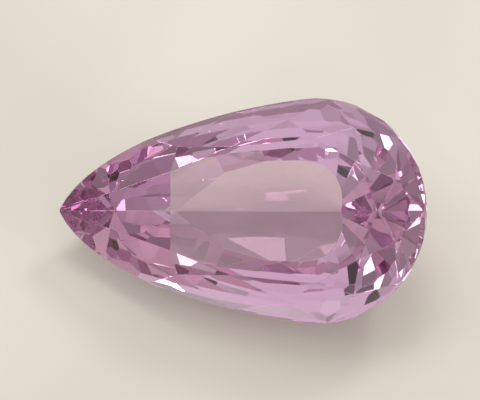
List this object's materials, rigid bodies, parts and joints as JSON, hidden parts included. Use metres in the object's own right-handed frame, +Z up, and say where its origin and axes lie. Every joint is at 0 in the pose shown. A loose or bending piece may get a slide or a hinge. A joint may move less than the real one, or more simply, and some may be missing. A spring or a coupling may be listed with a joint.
{
  "type": "pear-cut kunzite gemstone",
  "caption": "Clear pale pink gem cut as a pear: a wide flat table, sloping crown facets, a thin girdle and a keeled pavilion, lying on its side.",
  "frame": {"origin": "middle of the stone's box in plan, at the surface that it lies on", "axes": "+Z up; +X along the stone from its tip to its round end; the table faces up and toward -Y"},
  "size_m": [0.0228, 0.012, 0.0097],
  "materials": {
    "kunzite": "transparent polished crystal, pale pink to lilac, index of refraction 1.67"
  },
  "bodies": {
    "root": {"kunzite": "kunzite"}
  },
  "joints": []
}
